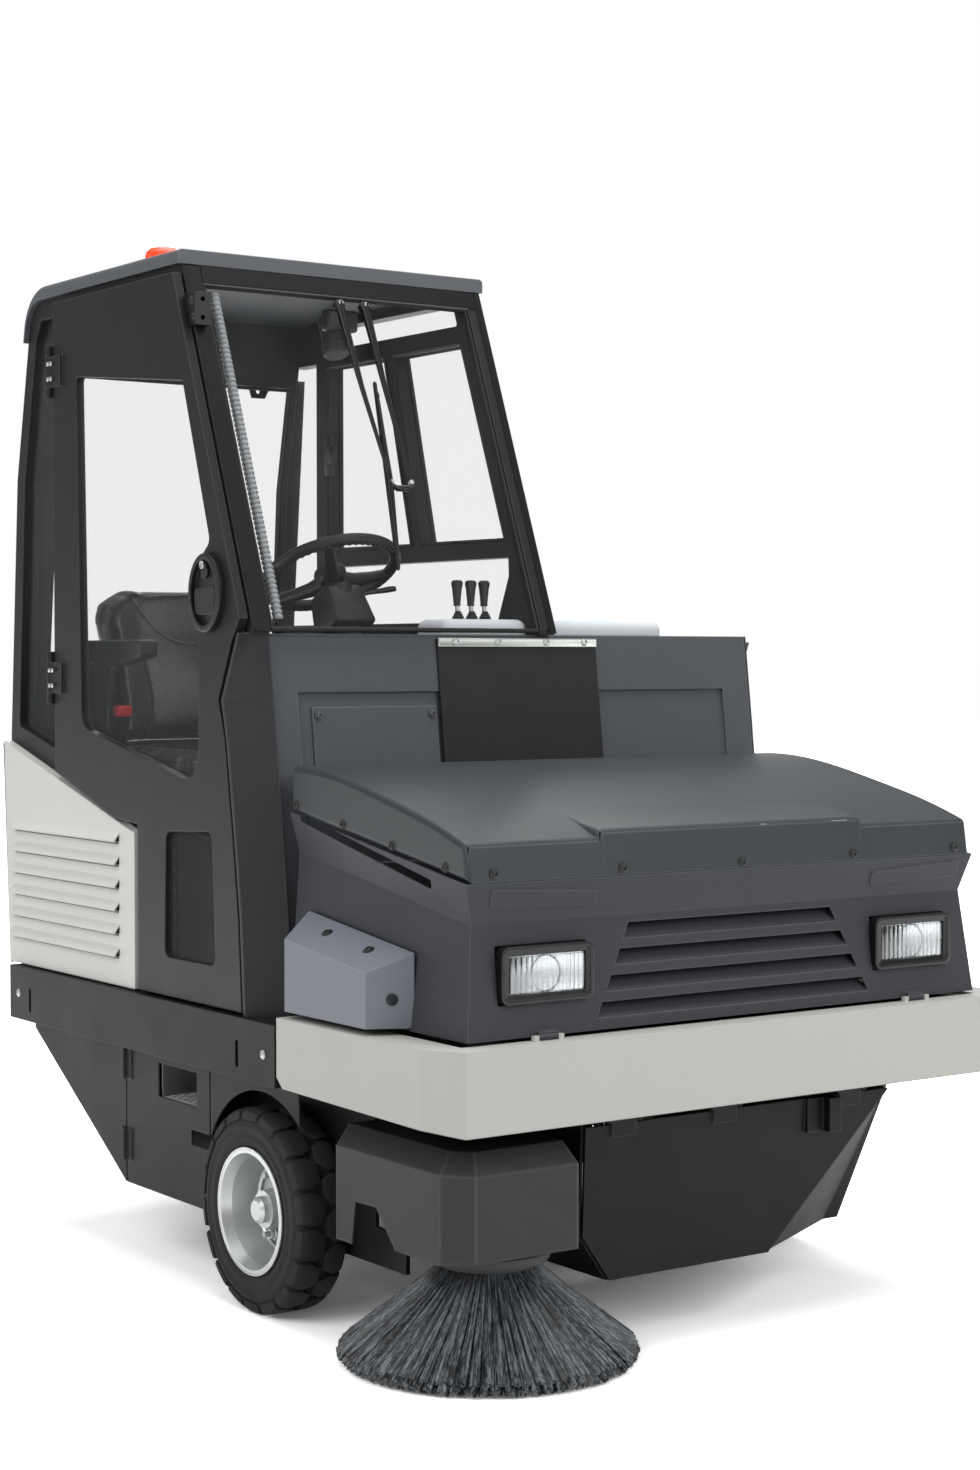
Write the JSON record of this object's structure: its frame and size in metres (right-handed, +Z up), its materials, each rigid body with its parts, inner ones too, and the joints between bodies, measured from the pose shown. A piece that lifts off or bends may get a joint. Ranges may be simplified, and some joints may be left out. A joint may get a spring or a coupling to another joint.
{
  "type": "compact road sweeper",
  "caption": "Compact ride-on road sweeper with an offset glazed cab, front high-tip bin, side brush, main roller brush and a steered rear wheel.",
  "frame": {"origin": "middle of the whole sweeper's box, on the floor", "axes": "+X forward, +Y to the vehicle's left, +Z up"},
  "size_m": [1.9678, 1.487, 2.226],
  "materials": {
    "chassis_paint": "satin",
    "body_grey": "satin",
    "dash_grey": "satin",
    "panel_white": "satin",
    "bumper_grey": "satin",
    "bin_black": "satin",
    "zinc": "zinc plated",
    "rim_silver": "silver paint",
    "steel_grey": "dark steel",
    "tyre_rubber": "matte",
    "flap_rubber": "matte",
    "cover_plastic": "grained",
    "box_plastic": "grained",
    "brush_cover_plastic": "grained",
    "light_plastic": "grained",
    "black_plastic": "satin",
    "bristle": "fibres",
    "seat_vinyl": "grained vinyl",
    "clear_glass": "clear",
    "lamp_glass": "clear",
    "amber_lens": "clear moulded"
  },
  "bodies": {
    "root": {"chassis_frame": "chassis_paint", "front_axle": "steel_grey", "sill_beams": "body_grey", "skirts": "chassis_paint", "step_trays": "zinc", "rear_side_panels": "panel_white", "rear_panel": "body_grey", "left_body": "body_grey", "engine_block": "steel_grey", "dash_panel": "dash_grey", "dash_cheeks": "dash_grey", "seal_flap": "flap_rubber", "flap_strip": "zinc", "dash_hatch": "dash_grey", "dash_covers": "light_plastic", "levers": "black_plastic", "cab_side_right": "body_grey", "cab_side_left": "body_grey", "cab_rear_wall": "body_grey", "cab_roof": "body_grey", "windscreen": "clear_glass", "cab_panes": "clear_glass", "seat_base": "black_plastic", "seat_cushion": "seat_vinyl", "seat_back": "seat_vinyl", "armrest": "black_plastic", "steering_column": "black_plastic", "wiper": "black_plastic", "beacon": "amber_lens", "mirror_bracket": "black_plastic"},
    "cab_door": {"door_panel": "body_grey", "door_panes": "clear_glass", "door_handle": "black_plastic"},
    "brush_door_right": {"brush_door_right": "chassis_paint"},
    "brush_door_left": {"brush_door_left": "chassis_paint"},
    "lift_arms": {"lift_arms": "chassis_paint"},
    "hopper": {"hopper_frame": "bin_black", "hopper_bin": "bin_black", "bumper": "bumper_grey"},
    "hopper_door": {"hopper_door": "bin_black"},
    "hood": {"hood_shell": "dash_grey", "hood_cover": "cover_plastic", "headlamps": "black_plastic", "headlamp_lenses": "lamp_glass", "side_box": "box_plastic"},
    "lift_barrels": {"lift_barrels": "black_plastic"},
    "lift_rods": {"lift_rods": "zinc"},
    "brush_arm": {"brush_arm": "chassis_paint", "brush_cover": "brush_cover_plastic"},
    "side_brush": {"side_brush": "bristle"},
    "main_brush_arms": {"main_brush_arms": "chassis_paint"},
    "main_brush": {"main_brush": "bristle"},
    "rear_fork": {"rear_fork": "chassis_paint"},
    "rear_wheel": {"tyre_rear": "tyre_rubber", "rim_rear": "rim_silver"},
    "wheel_right": {"tyre_right": "tyre_rubber", "rim_right": "rim_silver"},
    "wheel_left": {"tyre_left": "tyre_rubber", "rim_left": "rim_silver"},
    "steering_wheel": {"steering_wheel": "black_plastic"}
  },
  "joints": [
    {"name": "cab_door_hinge", "type": "hinge", "parent": "root", "child": "cab_door", "pos_m": [-0.70112, -0.6865, 1.5], "axis": [0, 0, -1], "range_deg": [0, 85]},
    {"name": "brush_door_right_hinge", "type": "hinge", "parent": "root", "child": "brush_door_right", "pos_m": [-0.43112, -0.6415, 0.3], "axis": [0, 0, -1], "range_deg": [0, 100]},
    {"name": "brush_door_left_hinge", "type": "hinge", "parent": "root", "child": "brush_door_left", "pos_m": [-0.43112, 0.6785, 0.3], "axis": [0, 0, 1], "range_deg": [0, 100]},
    {"name": "hopper_lift", "type": "hinge", "parent": "root", "child": "lift_arms", "pos_m": [0.26888, 0.0185, 0.83], "axis": [0, -1, 0], "range_deg": [0, 70]},
    {"name": "hopper_level", "type": "hinge", "parent": "lift_arms", "child": "hopper", "pos_m": [0.69484, 0.0185, 0.53174], "axis": [0, -1, 0], "range_deg": [-70, 0]},
    {"name": "hopper_door_hinge", "type": "hinge", "parent": "hopper", "child": "hopper_door", "pos_m": [0.82288, 0.0185, 0.452], "axis": [0, -1, 0], "range_deg": [0, 75]},
    {"name": "hood_hinge", "type": "hinge", "parent": "hopper", "child": "hood", "pos_m": [0.87188, 0.0185, 0.629], "axis": [0, 1, 0], "range_deg": [0, 60]},
    {"name": "lift_barrel_pivot", "type": "hinge", "parent": "root", "child": "lift_barrels", "pos_m": [0.19888, 0.0185, 0.33], "axis": [0, -1, 0], "range_deg": [0, 10.44]},
    {"name": "lift_rod_slide", "type": "slide", "parent": "lift_barrels", "child": "lift_rods", "axis": [0.5188, 0, 0.8549], "range_m": [0, 0.2071]},
    {"name": "brush_arm_pivot", "type": "hinge", "parent": "root", "child": "brush_arm", "pos_m": [0.47688, 0.0185, 0.268], "axis": [0, -1, 0], "range_deg": [0, 6]},
    {"name": "side_brush_spin", "type": "hinge", "parent": "brush_arm", "child": "side_brush", "pos_m": [0.69488, -0.4545, 0.2], "axis": [0, 0, 1], "continuous": true},
    {"name": "main_brush_lift", "type": "hinge", "parent": "root", "child": "main_brush_arms", "pos_m": [-0.58112, 0.0185, 0.33], "axis": [0, 1, 0], "range_deg": [0, 18.5]},
    {"name": "main_brush_spin", "type": "hinge", "parent": "main_brush_arms", "child": "main_brush", "pos_m": [-0.24112, 0.0185, 0.255], "axis": [0, 1, 0], "continuous": true},
    {"name": "rear_steer", "type": "hinge", "parent": "root", "child": "rear_fork", "pos_m": [-0.67112, 0.0185, 0.5], "axis": [0, 0, 1], "range_deg": [-60, 60]},
    {"name": "rear_wheel_spin", "type": "hinge", "parent": "rear_fork", "child": "rear_wheel", "pos_m": [-0.67112, 0.0185, 0.2075], "axis": [0, 1, 0], "continuous": true},
    {"name": "wheel_right_spin", "type": "hinge", "parent": "root", "child": "wheel_right", "pos_m": [0.15888, -0.609, 0.2075], "axis": [0, 1, 0], "continuous": true},
    {"name": "wheel_left_spin", "type": "hinge", "parent": "root", "child": "wheel_left", "pos_m": [0.15888, 0.646, 0.2075], "axis": [0, 1, 0], "continuous": true},
    {"name": "steering_wheel_turn", "type": "hinge", "parent": "root", "child": "steering_wheel", "pos_m": [-0.13612, -0.2915, 1.505], "axis": [-0.4695, 0, 0.8829], "range_deg": [-360, 360]}
  ],
  "couplings": [
    {"joint": "hopper_level", "follows": "hopper_lift", "ratio": -1},
    {"joint": "lift_barrel_pivot", "follows": "hopper_lift", "ratio": 0.14896},
    {"joint": "lift_rod_slide", "follows": "hopper_lift", "m_per_rad": 0.16943},
    {"joint": "steering_wheel_turn", "follows": "rear_steer", "ratio": -6}
  ]
}
